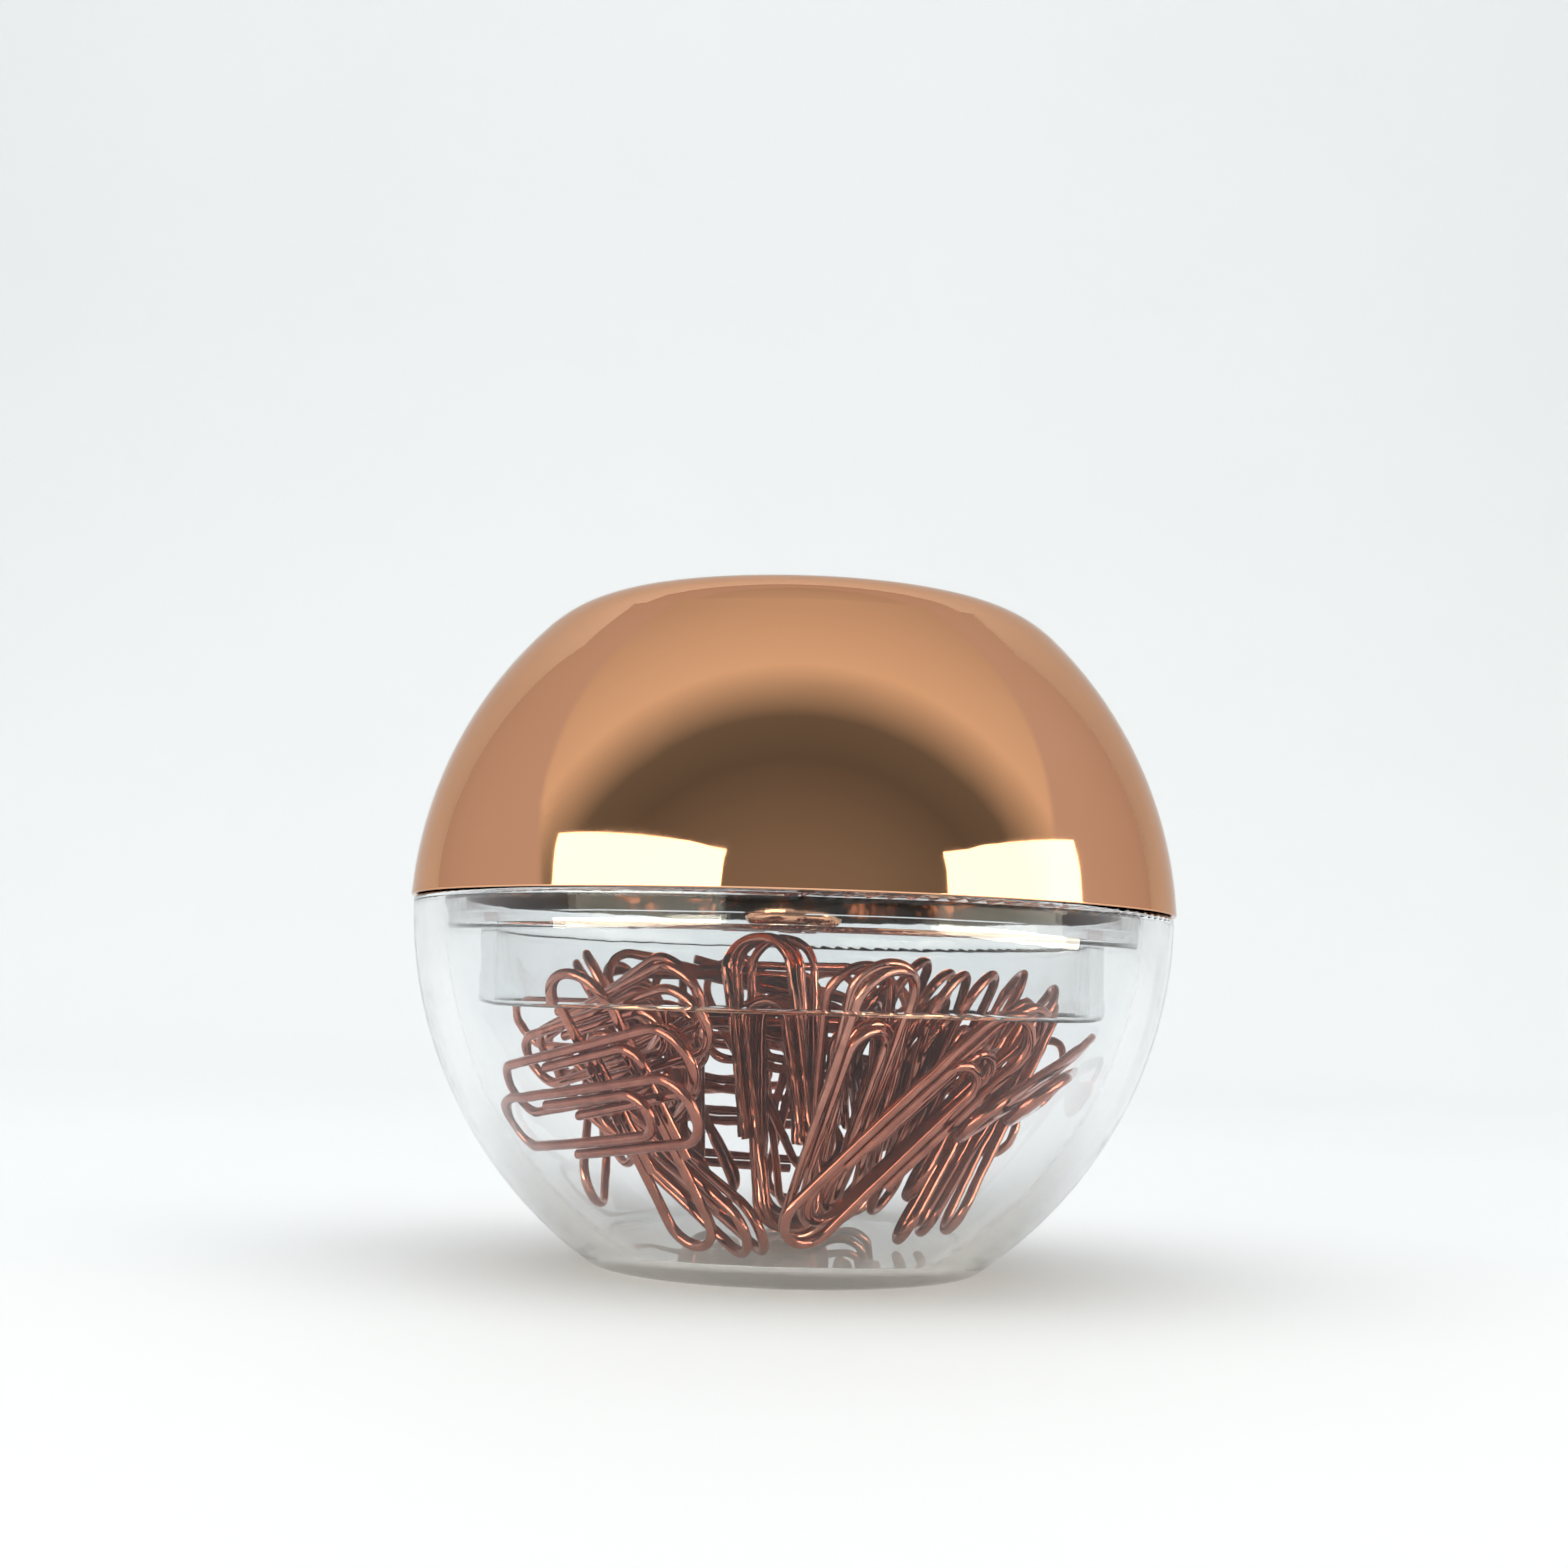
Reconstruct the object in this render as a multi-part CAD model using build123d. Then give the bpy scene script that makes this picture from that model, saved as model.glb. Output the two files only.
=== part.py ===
from build123d import *
import math
import os

import numpy as np
from scipy.spatial import cKDTree

# A ball-shaped paper clip holder that stands on its flat base at z = 0.
# Every size is in millimetres and the seam between bowl and lid is level.

# Clear bowl: a round-sided cup cut off by the flat base
bowl_radius = 36.15
bowl_height = 33.9
base_radius = 18.1
bowl_wall = 2.9
floor_thickness = 2.8
base_edge_round = 2.5
floor_edge_round = 3.0
bowl_rim_round = 0.5

# Plated lid: barrel sides, a rounded shoulder and a flat top
lid_overhang = 0.25
lid_height = 29.3
lid_wall = 2.2
lid_side_radius = 39.3
lid_side_drop = 2.2
lid_shoulder_radius = 12.2
lid_rim_round = 0.15

# Clear collar: bonded inside the lid, it plugs the bowl's mouth with a ring and a narrower skirt
collar_wall = 1.5
collar_fit_gap = 0.4
collar_flange_height = 2.4
collar_flange_lift = 0.3
collar_ring_depth = 3.2
collar_skirt_inset = 3.05
collar_skirt_depth = 9.8
collar_edge_round = 0.5
bond_gap = 0.05

# Magnet post: hangs from the middle of the lid and carries the magnet in its lower end
post_radius = 4.65
post_draft = 0.6
post_foot_overhang = 2.75
post_foot_thickness = 1.6
post_foot_fillet = 2.0
post_edge_round = 0.8
magnet_radius = 3.3
magnet_thickness = 3.0
magnet_stand_out = 0.6
magnet_edge_round = 0.3

# Paper clip: one round wire with three half-circle bends
clip_length = 28.0
clip_width = 7.0
wire_diameter = 0.9
leg_gap = 0.15
inner_loop_reach = 22.0
outer_end_reach = 9.0
inner_end_reach = 8.0

# Clips held by the magnet, one behind the other: sideways shift, lean and the lower end's swing forwards
hung_places = [(-3.1, -9, 6), (-2.2, -5, 3), (-2.9, -7, 0), (-0.9, -1, -3), (-2.0, -6, -6)]
hung_gap = 0.35
hung_clearance = 0.8

# Clips against the bowl's near side: azimuth, share of the free height, turn along the wall and swivel
near_clips = [
    (225, 0.42, 9, 0),
    (225, 0.62, 12, 0),
    (225, 0.80, 14, 0),
    (300, 0.22, 54, 0),
    (310, 0.42, 50, 3),
    (323, 0.50, 48, 0),
    (231, 0.06, 100, 0),
    (224, 0.00, 130, 0),
    (214, 0.00, 145, 0),
    (204, 0.00, 160, 0),
    (338, 0.60, 110, 0),
]

# Loose clips that fill the rest of the heap, about half of them side by side with another
loose_clip_count = 50
heap_headroom = 1.6
heap_fill = 0.75
heap_lean = 30.0
swivel_limit = 25.0
beside_turn = 25.0
beside_slip = 5.0
wire_gap = 0.16
lift_gap = 0.3
tries_per_clip = 12
heap_rounds = 120
heap_seed = 8

# Front of the heap, left open so that the hung clips show
view_gap_middle = -2.8
view_gap_width = 7.6
view_gap_sill = 10.0

seam = bowl_height
wire_radius = wire_diameter / 2
full_turn = 360
up = np.array([0.0, 0.0, 1.0])
across = np.array([1.0, 0.0, 0.0])


def revolved(section):
    """Turns a section drawn as radius and height into a solid round the Z axis."""
    return revolve(Plane.XZ * section, Axis.Z)


def corner(section, radius, height):
    """The section's corner nearest a given radius and height."""
    return section.vertices().sort_by_distance(Vector(radius, height))[0]


# Bowl
mouth_radius = bowl_radius - bowl_wall
bowl_taper = bowl_radius - base_radius
bowl_arc = (bowl_taper**2 + bowl_height**2) / (2 * bowl_taper)
bowl_arc_centre = bowl_radius - bowl_arc


def wall_radius(inset, height):
    """Radius of the bowl's wall at a height, drawn in by an inset from the outside."""
    return bowl_arc_centre + math.sqrt((bowl_arc - inset) ** 2 - (seam - height) ** 2)


def cup(inset, bottom):
    """Half the bowl's outline, filled from a flat bottom up to the seam and drawn in by an inset."""
    rim = (bowl_radius - inset, seam)
    heel = (wall_radius(inset, bottom), bottom)
    outline = Curve() + [
        RadiusArc(rim, heel, bowl_arc - inset),
        Polyline(heel, (0, bottom), (0, seam), rim),
    ]
    return make_face(outline)


def make_bowl():
    section = cup(0, 0) - cup(bowl_wall, floor_thickness)
    section = fillet(corner(section, base_radius, 0), base_edge_round)
    floor_edge = corner(section, wall_radius(bowl_wall, floor_thickness), floor_thickness)
    section = fillet(floor_edge, floor_edge_round)
    section = fillet(corner(section, bowl_radius, seam), bowl_rim_round)
    return revolved(section)


# Lid
lid_radius = bowl_radius + lid_overhang
side_centre = Vector(lid_radius - math.sqrt(lid_side_radius**2 - lid_side_drop**2), seam - lid_side_drop)
shoulder_height = seam + lid_height - lid_shoulder_radius
shoulder_reach = math.sqrt(
    (lid_side_radius - lid_shoulder_radius) ** 2 - (shoulder_height - side_centre.Y) ** 2
)
shoulder_centre = Vector(side_centre.X + shoulder_reach, shoulder_height)
collar_seat_radius = lid_radius - lid_wall


def dome(inset):
    """Half the lid's outline, filled and drawn in by an inset."""
    side = lid_side_radius - inset
    rim = Vector(side_centre.X + math.sqrt(side**2 - lid_side_drop**2), seam)
    join = side_centre + (shoulder_centre - side_centre).normalized() * side
    crown = shoulder_centre + Vector(0, lid_shoulder_radius - inset)
    outline = Curve() + [
        RadiusArc(rim, join, -side),
        RadiusArc(join, crown, -(lid_shoulder_radius - inset)),
        Polyline(crown, (0, crown.Y), (0, seam), rim),
    ]
    return make_face(outline)


def make_lid_dome():
    section = dome(0) - dome(lid_wall)
    seat = Pos(collar_seat_radius / 2, seam + collar_flange_height / 2)
    section -= seat * Rectangle(collar_seat_radius, collar_flange_height)
    section = fillet(corner(section, lid_radius, seam), lid_rim_round)
    return revolved(section)


# Collar
collar_ring_radius = mouth_radius - collar_fit_gap
collar_skirt_radius = collar_ring_radius - collar_skirt_inset


def make_lid_collar():
    flange = collar_seat_radius - bond_gap
    ring = collar_ring_radius
    step = seam - collar_ring_depth
    bottom = seam - collar_skirt_depth
    outline = Polyline(
        (flange, seam + collar_flange_height),
        (flange, seam + collar_flange_lift),
        (ring, seam + collar_flange_lift),
        (ring, step),
        (collar_skirt_radius, step),
        (collar_skirt_radius, bottom),
        (collar_skirt_radius - collar_wall, bottom),
        (collar_skirt_radius - collar_wall, step + collar_wall),
        (ring - collar_wall, step + collar_wall),
        (ring - collar_wall, seam + collar_flange_height),
        close=True,
    )
    section = make_face(outline)
    section = fillet(corner(section, ring, step), collar_edge_round)
    section = fillet(corner(section, collar_skirt_radius, bottom), collar_edge_round)
    return revolved(section)


# Magnet and its post, as long as the clips under it leave room for
magnet_bottom = floor_thickness + hung_clearance + clip_length
post_bottom = magnet_bottom + magnet_stand_out
post_top = seam + lid_height - lid_wall
post_root_radius = post_radius + post_draft
post_foot_radius = post_root_radius + post_foot_overhang


def make_magnet_post():
    foot = post_top - post_foot_thickness
    pocket = magnet_radius + bond_gap
    ceiling = magnet_bottom + magnet_thickness
    outline = Polyline(
        (0, post_top),
        (post_foot_radius, post_top),
        (post_foot_radius, foot),
        (post_root_radius, foot),
        (post_radius, post_bottom),
        (pocket, post_bottom),
        (pocket, ceiling),
        (0, ceiling),
        close=True,
    )
    section = make_face(outline)
    section = fillet(corner(section, post_root_radius, foot), post_foot_fillet)
    section = fillet(corner(section, post_radius, post_bottom), post_edge_round)
    return revolved(section)


def make_magnet():
    centre = magnet_bottom + magnet_thickness / 2
    disc = Pos(0, 0, centre) * Cylinder(magnet_radius, magnet_thickness)
    return fillet(disc.edges().filter_by(GeomType.CIRCLE), magnet_edge_round)


# Paper clip, lying along X with its middle at the origin
def clip_wire():
    """The middle line of the wire: four legs, and a large, a middle and an inner bend."""
    half_pitch = (wire_diameter + leg_gap) / 2
    large = (clip_width - wire_diameter) / 2
    middle = large - half_pitch
    small = middle - half_pitch
    large_end = clip_length / 2 - wire_radius - large
    middle_end = wire_radius + middle - clip_length / 2
    small_end = inner_loop_reach - clip_length / 2 - wire_radius - small
    outer_tip = outer_end_reach - clip_length / 2
    inner_tip = inner_end_reach - clip_length / 2
    lower = large - 2 * middle
    upper = lower + 2 * small
    return Curve() + [
        Line((outer_tip, -large), (large_end, -large)),
        ThreePointArc((large_end, -large), (large_end + large, 0), (large_end, large)),
        Line((large_end, large), (middle_end, large)),
        ThreePointArc((middle_end, large), (middle_end - middle, large - middle), (middle_end, lower)),
        Line((middle_end, lower), (small_end, lower)),
        ThreePointArc((small_end, lower), (small_end + small, lower + small), (small_end, upper)),
        Line((small_end, upper), (inner_tip, upper)),
    ]


wire_line = Wire(clip_wire().edges())
start_plane = Plane(wire_line @ 0, z_dir=wire_line % 0)
clip_solid = sweep(start_plane * Circle(wire_radius), path=wire_line)
sample_count = math.ceil(wire_line.length / (wire_radius + wire_gap))
wire_points = np.array([tuple(wire_line @ share) for share in np.linspace(0, 1, sample_count)])


class Clip:
    """One clip's place: its middle, where its length points, where it faces and where it may give way."""

    def __init__(self, middle, along, facing, inward=up):
        self.middle = np.array(middle, dtype=float)
        self.along = np.array(along, dtype=float)
        self.facing = np.array(facing, dtype=float)
        self.inward = inward

    def points(self):
        axes = np.array([self.along, np.cross(self.facing, self.along), self.facing])
        return self.middle + wire_points @ axes

    def solid(self):
        plane = Plane(tuple(self.middle), x_dir=tuple(self.along), z_dir=tuple(self.facing))
        return plane.location * clip_solid


def radial(azimuth):
    """The level direction away from the Z axis at an azimuth in radians."""
    return np.array([math.cos(azimuth), math.sin(azimuth), 0.0])


def hung_clip(index, shift, lean, swing):
    """A clip that hangs by its large bend from the magnet, in its own plane behind the one before."""
    middle_index = (len(hung_places) - 1) / 2
    row = (index - middle_index) * (wire_diameter + hung_gap)
    back = np.array([0, math.sin(math.radians(swing)), math.cos(math.radians(swing))])
    along = math.sin(math.radians(lean)) * across + math.cos(math.radians(lean)) * back
    clip = Clip((0, 0, 0), along, np.cross(back, across))
    points = clip.points()
    top = points[np.argmax(points[:, 2])]
    clip.middle = np.array([shift, row, magnet_bottom - wire_gap - wire_radius]) - top
    return clip


def wall_clip(azimuth, rise, turn, swivel):
    """A clip at the wall that leans back with it, turned in its own plane and swivelled."""
    outward = radial(math.radians(azimuth))
    level = np.cross(up, outward)
    lean = math.radians(heap_lean)
    slope = math.cos(lean) * outward - math.sin(lean) * up
    angle = math.radians(turn)
    along = math.cos(angle) * level + math.sin(angle) * np.cross(slope, level)
    roll = math.radians(swivel)
    facing = math.cos(roll) * slope + math.sin(roll) * np.cross(along, slope)
    clip = Clip(mouth_radius * outward, along, facing, -outward)
    heights = clip.points()[:, 2]
    margin = wire_radius + 2 * wire_gap
    lowest = floor_thickness + margin - heights.min()
    highest = heap_top - margin - heights.max()
    clip.middle[2] = lowest + rise * (highest - lowest)
    return clip


def beside_clip(clip, slip, turn):
    """A clip flat against another one, slipped along it and turned."""
    angle = math.radians(turn)
    along = math.cos(angle) * clip.along + math.sin(angle) * np.cross(clip.facing, clip.along)
    return Clip(clip.middle + slip * clip.along, along, clip.facing, -clip.facing)


heap_top = magnet_bottom - heap_headroom


class Heap:
    """The clips in the bowl, kept clear of the walls, of each other and of the hung clips' way up."""

    def __init__(self, hung):
        self.clips = []
        self.wires = None
        self.ways_up = cKDTree(np.vstack([clip.points()[:, :2] for clip in hung]))

    def is_clear(self, points):
        """Whether a wire through these points keeps its gap to all that stands round it."""
        radius = np.hypot(points[:, 0], points[:, 1])
        height = points[:, 2]
        bowl = bowl_arc - bowl_wall - np.hypot(radius - bowl_arc_centre, seam - height)
        below_skirt = np.maximum(seam - collar_skirt_depth - height, 0)
        within_skirt = np.maximum(collar_skirt_radius - collar_wall - radius, 0)
        skirt = np.hypot(below_skirt, within_skirt)
        walls = min(bowl.min(), height.min() - floor_thickness, heap_top - height.max())
        if walls < wire_radius + wire_gap or skirt.min() < wire_radius + lift_gap:
            return False
        in_view = (points[:, 1] < 0) & (height > view_gap_sill)
        if np.any(in_view & (np.abs(points[:, 0] - view_gap_middle) < view_gap_width / 2)):
            return False
        way_up = wire_diameter + lift_gap
        if self.ways_up.query(points[:, :2], distance_upper_bound=way_up)[0].min() < way_up:
            return False
        if self.wires is None:
            return True
        apart = wire_diameter + wire_gap
        return self.wires.query(points, distance_upper_bound=apart)[0].min() > apart

    def settle(self, clip):
        """Moves a clip inwards to the first place where it is clear, and says how far it went."""
        points = clip.points()
        for shift in np.arange(0, mouth_radius - clip_width, wire_radius):
            if self.is_clear(points + shift * clip.inward):
                clip.middle = clip.middle + shift * clip.inward
                return shift
        return math.inf

    def add_nearest(self, tries):
        """Adds the clip that finds a clear place with the shortest move, if any of them finds one."""
        shifts = [self.settle(clip) for clip in tries]
        if min(shifts) < math.inf:
            self.clips.append(tries[np.argmin(shifts)])
            self.wires = cKDTree(np.vstack([clip.points() for clip in self.clips]))

    def chance_clip(self, chance, beside):
        """A clip beside one that is already there, or one anywhere round the wall."""
        if beside:
            clip = self.clips[chance.integers(len(self.clips))]
            slip = chance.uniform(-beside_slip, beside_slip)
            return beside_clip(clip, slip, chance.uniform(-beside_turn, beside_turn))
        azimuth = chance.uniform(0, full_turn)
        rise = chance.uniform(0, heap_fill)
        turn = chance.uniform(0, full_turn / 2)
        return wall_clip(azimuth, rise, turn, chance.uniform(-swivel_limit, swivel_limit))


def loose_clips(hung):
    """The near clips, then the clips that find a place nearest the wall, one by one."""
    chance = np.random.default_rng(heap_seed)
    heap = Heap(hung)
    for place in near_clips:
        heap.add_nearest([wall_clip(*place)])
    for index in range(heap_rounds):
        if len(heap.clips) == loose_clip_count:
            break
        heap.add_nearest([heap.chance_clip(chance, index % 2) for attempt in range(tries_per_clip)])
    return heap.clips


os.makedirs("parts", exist_ok=True)
export_step(make_bowl(), "parts/bowl.step")
export_step(make_lid_dome(), "parts/lid_dome.step")
export_step(make_lid_collar(), "parts/lid_collar.step")
export_step(make_magnet_post(), "parts/magnet_post.step")
export_step(make_magnet(), "parts/magnet.step")
hung_clips = [hung_clip(index, *place) for index, place in enumerate(hung_places)]
for number, clip in enumerate(hung_clips, start=1):
    export_step(clip.solid(), f"parts/hung_clip_{number}.step")
for number, clip in enumerate(loose_clips(hung_clips), start=1):
    export_step(clip.solid(), f"parts/loose_clip_{number:02d}.step")
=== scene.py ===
import bpy
import math
from mathutils import Matrix, Vector

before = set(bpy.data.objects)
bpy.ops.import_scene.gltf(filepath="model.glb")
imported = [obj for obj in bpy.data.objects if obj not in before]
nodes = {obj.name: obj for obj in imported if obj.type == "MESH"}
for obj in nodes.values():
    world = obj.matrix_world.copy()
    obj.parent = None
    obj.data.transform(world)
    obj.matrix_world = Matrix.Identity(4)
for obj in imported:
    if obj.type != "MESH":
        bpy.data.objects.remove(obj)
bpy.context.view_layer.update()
scene = bpy.context.scene
scene.view_settings.view_transform = "Standard"


# Node trees
def new_tree(name):
    """An empty material and its node tree."""
    material = bpy.data.materials.new(name)
    material.use_nodes = True
    material.node_tree.nodes.clear()
    return material, material.node_tree


def fill(tree, socket, value):
    """Gives an input a value, or links it where the value is a socket."""
    if isinstance(value, bpy.types.NodeSocket):
        tree.links.new(value, socket)
    else:
        socket.default_value = value


def add(tree, kind, settings=None, **inputs):
    """A node with its settings and its inputs, each named with _ for a space."""
    node = tree.nodes.new(kind)
    for key, value in (settings or {}).items():
        setattr(node, key, value)
    for key, value in inputs.items():
        fill(tree, node.inputs[key.replace("_", " ")], value)
    return node


def place(tree, stretch=(1, 1, 1)):
    """Object coordinates, in metres, stretched along the axes."""
    coordinates = add(tree, "ShaderNodeTexCoord")
    where = coordinates.outputs["Object"]
    mapping = add(tree, "ShaderNodeMapping", Vector=where, Scale=stretch)
    return mapping.outputs["Vector"]


def noise(tree, where, scale, detail=2.0, roughness=0.5):
    """Soft noise at a number of waves a metre."""
    node = add(
        tree,
        "ShaderNodeTexNoise",
        Vector=where,
        Scale=scale,
        Detail=detail,
        Roughness=roughness,
    )
    return node.outputs["Fac"]


def spread(tree, value, low, high, start=0.3, end=0.7):
    """Maps a value from start and end, by default those of a noise, to low and high."""
    node = add(
        tree,
        "ShaderNodeMapRange",
        Value=value,
        From_Min=start,
        From_Max=end,
        To_Min=low,
        To_Max=high,
    )
    return node.outputs["Result"]


def ramp(tree, value, stops):
    """Colours at places along a value."""
    node = add(tree, "ShaderNodeValToRGB", Fac=value)
    elements = node.color_ramp.elements
    while len(elements) < len(stops):
        elements.new(0.5)
    for element, (position, colour) in zip(elements, stops):
        element.position = position
        element.color = (*colour, 1)
    return node.outputs["Color"]


def bump(tree, height, strength, distance):
    """A normal that follows a height, with the distance in metres."""
    node = add(tree, "ShaderNodeBump", Height=height, Strength=strength, Distance=distance)
    return node.outputs["Normal"]


def blend(tree, first, second, factor, kind="MIX"):
    """Two colours blended into one."""
    node = add(tree, "ShaderNodeMix", {"data_type": "RGBA", "blend_type": kind}, Factor=factor)
    fill(tree, node.inputs["A"], first)
    fill(tree, node.inputs["B"], second)
    return node.outputs["Result"]


def reckon(tree, operation, first, second=0.0):
    """One step of arithmetic on one or two values."""
    node = add(tree, "ShaderNodeMath", {"operation": operation})
    for socket, value in zip(node.inputs, (first, second)):
        fill(tree, socket, value)
    return node.outputs["Value"]


def output(tree, shader):
    """Ends a material's tree."""
    add(tree, "ShaderNodeOutputMaterial", Surface=shader)


# Materials
acrylic_ior = 1.49
head_on_reflection = (0.45, 0.45, 0.45, 1)
lamp_light_through = (0.9, 0.91, 0.92, 1)
bowl_tint = (0.955, 0.965, 0.97, 1)
collar_tint = (0.94, 0.95, 0.955, 1)
plating_tones = [(0.3, (0.86, 0.455, 0.27)), (0.7, (0.89, 0.49, 0.295))]
plating_edge = (0.66, 0.57, 0.51, 1)
wire_tones = [
    (0.0, (0.41, 0.15, 0.11)),
    (0.5, (0.50, 0.20, 0.145)),
    (1.0, (0.64, 0.31, 0.235)),
]
wire_wear = [(0.3, (0.70, 0.62, 0.60)), (0.6, (1, 1, 1))]
nickel_tones = [(0.35, (0.52, 0.50, 0.47)), (0.65, (0.68, 0.66, 0.62))]
floor_tones = [(0.3, (0.875, 0.905, 0.945)), (0.7, (0.89, 0.92, 0.96))]


def clear_plastic(name, tint):
    """Moulded clear plastic with faint flow waves; lamps shine through it."""
    material, tree = new_tree(name)
    where = place(tree)
    waves = noise(tree, where, scale=90.0, detail=3.0)
    haze = noise(tree, where, scale=240.0, detail=4.0)
    body = add(
        tree,
        "ShaderNodeBsdfPrincipled",
        Base_Color=tint,
        Roughness=spread(tree, haze, low=0.0, high=0.03),
        IOR=acrylic_ior,
        Specular_Tint=head_on_reflection,
        Transmission_Weight=1.0,
        Normal=bump(tree, waves, strength=0.04, distance=0.0004),
    )
    through = add(tree, "ShaderNodeBsdfTransparent", Color=lamp_light_through)
    path = add(tree, "ShaderNodeLightPath")
    mix = add(tree, "ShaderNodeMixShader", Fac=path.outputs["Is Shadow Ray"])
    tree.links.new(body.outputs["BSDF"], mix.inputs[1])
    tree.links.new(through.outputs["BSDF"], mix.inputs[2])
    output(tree, mix.outputs["Shader"])
    return material


def rose_gold_plating():
    """Mirror-bright plating on a moulded skin, a little uneven and a little smudged."""
    material, tree = new_tree("rose_gold_plating")
    where = place(tree)
    smudge = noise(tree, where, scale=160.0, detail=5.0, roughness=0.6)
    skin = noise(tree, where, scale=70.0)
    body = add(
        tree,
        "ShaderNodeBsdfPrincipled",
        Base_Color=ramp(tree, noise(tree, where, scale=45.0, detail=3.0), plating_tones),
        Metallic=1.0,
        Specular_Tint=plating_edge,
        Roughness=spread(tree, smudge, low=0.02, high=0.07),
        Normal=bump(tree, skin, strength=0.03, distance=0.0005),
    )
    output(tree, body.outputs["BSDF"])
    return material


def copper_wire():
    """Copper-plated drawn wire: each clip has its own tone, with dull spots and a fine grain."""
    material, tree = new_tree("copper_wire")
    where = place(tree)
    which = add(tree, "ShaderNodeObjectInfo").outputs["Random"]
    worn = noise(tree, where, scale=500.0, detail=4.0, roughness=0.6)
    grain = noise(tree, where, scale=3000.0, detail=3.0)
    tone = ramp(tree, which, wire_tones)
    body = add(
        tree,
        "ShaderNodeBsdfPrincipled",
        Base_Color=blend(tree, tone, ramp(tree, worn, wire_wear), 1.0, "MULTIPLY"),
        Metallic=1.0,
        Roughness=spread(tree, worn, low=0.10, high=0.02),
        Normal=bump(tree, grain, strength=0.04, distance=0.00005),
    )
    output(tree, body.outputs["BSDF"])
    return material


def magnet_nickel():
    """Nickel plating with fine scratches from the clips."""
    material, tree = new_tree("magnet_nickel")
    where = place(tree, stretch=(1, 9, 1))
    scratches = noise(tree, where, scale=900.0, detail=5.0, roughness=0.7)
    body = add(
        tree,
        "ShaderNodeBsdfPrincipled",
        Base_Color=ramp(tree, scratches, nickel_tones),
        Metallic=1.0,
        Roughness=spread(tree, scratches, low=0.16, high=0.38),
        Normal=bump(tree, scratches, strength=0.1, distance=0.00005),
    )
    output(tree, body.outputs["BSDF"])
    return material


def paint(node, material):
    """Gives every slot of a node's object a material."""
    for slot in nodes[node].material_slots:
        slot.material = material


paint("bowl", clear_plastic("clear_bowl_plastic", bowl_tint))
paint("lid_collar", clear_plastic("clear_collar_plastic", collar_tint))
plating = rose_gold_plating()
paint("lid_dome", plating)
paint("magnet_post", plating)
paint("magnet", magnet_nickel())
wire = copper_wire()
for name in nodes:
    if "clip" in name:
        paint(name, wire)


# Floor that curves up into a backdrop, in metres
floor_half_width = 0.95
floor_front = -1.4
bend_start = 0.45
bend_radius = 0.35
bend_steps = 24
backdrop_top = 1.2


def sweep_floor():
    """A pale sheet that lies flat under the object and curves up behind it."""
    profile = [(floor_front, 0.0), (bend_start, 0.0)]
    for step in range(1, bend_steps + 1):
        angle = math.pi / 2 * step / bend_steps
        back = bend_start + bend_radius * math.sin(angle)
        profile.append((back, bend_radius * (1 - math.cos(angle))))
    profile.append((bend_start + bend_radius, backdrop_top))
    sides = (-floor_half_width, floor_half_width)
    points = [(x, y, z) for y, z in profile for x in sides]
    faces = [(2 * i, 2 * i + 1, 2 * i + 3, 2 * i + 2) for i in range(len(profile) - 1)]
    mesh = bpy.data.meshes.new("floor")
    mesh.from_pydata(points, [], faces)
    for polygon in mesh.polygons:
        polygon.use_smooth = True
    floor = bpy.data.objects.new("floor", mesh)
    scene.collection.objects.link(floor)
    material, tree = new_tree("pale_floor")
    tone = ramp(tree, noise(tree, place(tree), scale=6.0), floor_tones)
    sheet = add(tree, "ShaderNodeBsdfPrincipled", Base_Color=tone, Roughness=0.7)
    output(tree, sheet.outputs["BSDF"])
    mesh.materials.append(material)


sweep_floor()


# Lamps, in metres and watts
def softbox(name, at, toward, size, power, colour):
    """An even rectangular lamp that faces a point."""
    lamp = bpy.data.lights.new(name, "AREA")
    lamp.shape = "RECTANGLE"
    lamp.size, lamp.size_y = size
    lamp.energy = power
    lamp.color = colour
    holder = bpy.data.objects.new(name, lamp)
    holder.location = at
    facing = Vector(toward) - Vector(at)
    holder.rotation_euler = facing.to_track_quat("-Z", "Y").to_euler()
    scene.collection.objects.link(holder)
    return holder


cream = (1.0, 0.94, 0.77)
cool_white = (0.92, 0.96, 1.0)
seam = (0, 0, 0.034)
low_heap = (0, 0, 0.008)
backdrop_foot = (0, 0.6, 0.1)

# The two bright patches in the dome
softbox("low_left", (-0.584, -0.548, 0.19), seam, (0.78, 0.28), 2.5, cream)
softbox("low_right", (0.741, -0.321, 0.187), seam, (0.69, 0.275), 2.15, cream)

# The bright lines on the clips
softbox("left_strip", (-0.197, -0.2, 0.008), low_heap, (0.26, 0.012), 0.2, cream)
softbox("right_strip", (0.254, -0.13, 0.008), low_heap, (0.25, 0.012), 0.2, cream)

# The floor and the backdrop
overhead = softbox("overhead", (-0.1, -0.1, 1.3), backdrop_foot, (2.2, 1.6), 14.2, cool_white)
overhead.visible_glossy = False


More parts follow.
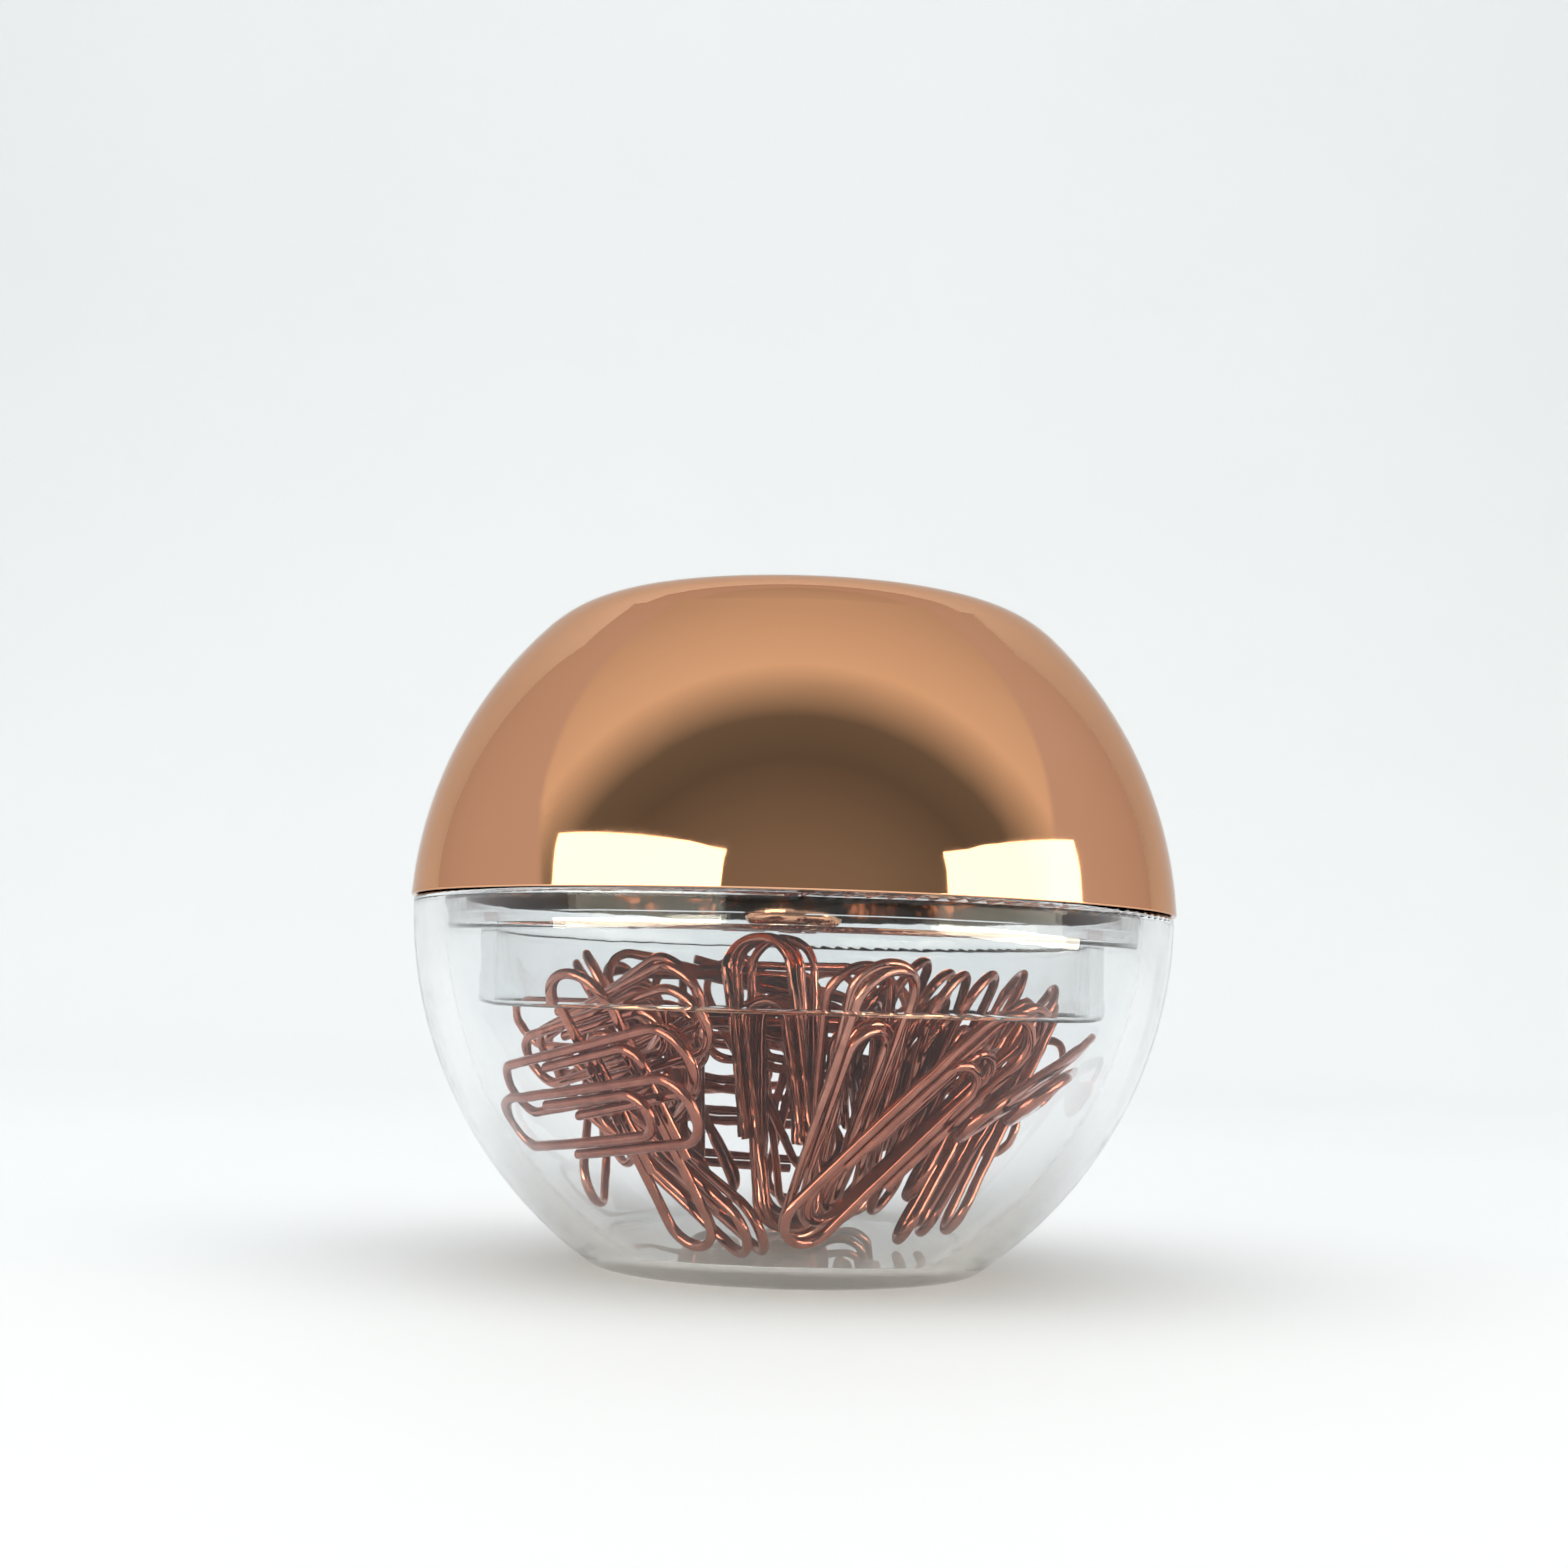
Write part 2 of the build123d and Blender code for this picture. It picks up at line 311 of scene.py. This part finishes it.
# Room
wall_tone = (0.58, 0.54, 0.53, 1)
wall_lean_sideways = 0.305
wall_lean_upward = 0.555
wall_edge = 0.02
front_lean_upward = 0.35
front_tones = [
    (0.0, (0.26, 0.25, 0.22)),
    (0.27, (0.12, 0.125, 0.115)),
    (0.38, (0.15, 0.155, 0.14)),
    (0.54, (0.77, 0.72, 0.61)),
    (0.95, (0.46, 0.44, 0.41)),
]


def studio_world():
    """A pale room behind, and before the object a dim one with a bright ceiling."""
    world = bpy.data.worlds.new("studio")
    scene.world = world
    world.use_nodes = True
    tree = world.node_tree
    tree.nodes.clear()
    direction = add(tree, "ShaderNodeTexCoord").outputs["Generated"]
    x, y, z = add(tree, "ShaderNodeSeparateXYZ", Vector=direction).outputs
    sideways = reckon(tree, "MULTIPLY", reckon(tree, "ABSOLUTE", x), wall_lean_sideways)
    upward = reckon(tree, "MULTIPLY", z, wall_lean_upward)
    behind = reckon(tree, "SUBTRACT", reckon(tree, "ADD", y, sideways), upward)
    wall = spread(tree, behind, 0.0, 1.0, -wall_edge, wall_edge)
    height = reckon(tree, "ADD", y, reckon(tree, "MULTIPLY", z, front_lean_upward))
    front = ramp(tree, spread(tree, height, 0.0, 1.0, -1.0, 1.0), front_tones)
    room = blend(tree, front, wall_tone, wall)
    light = add(tree, "ShaderNodeBackground", Color=room, Strength=1.0)
    add(tree, "ShaderNodeOutputWorld", Surface=light.outputs["Background"])


studio_world()


# Camera at the photograph's place, in metres, degrees and the photograph's pixels
camera_place = (-0.00129, -0.215, 0.0248)
camera_tip = 5.62
camera_roll = 1.73
focal_pixels = 2229
frame_pixels = 1568


def photo_camera():
    """Level with the bowl's upper half, tipped up a little and rolled a little."""
    lens = bpy.data.cameras.new("camera")
    lens.sensor_width = 36.0
    lens.lens = lens.sensor_width * focal_pixels / frame_pixels
    lens.clip_start = 0.01
    holder = bpy.data.objects.new("camera", lens)
    scene.collection.objects.link(holder)
    stand = Matrix.Translation(camera_place)
    tip = Matrix.Rotation(math.radians(90 + camera_tip), 4, "X")
    roll = Matrix.Rotation(math.radians(camera_roll), 4, "Z")
    holder.matrix_world = stand @ tip @ roll
    scene.camera = holder


photo_camera()
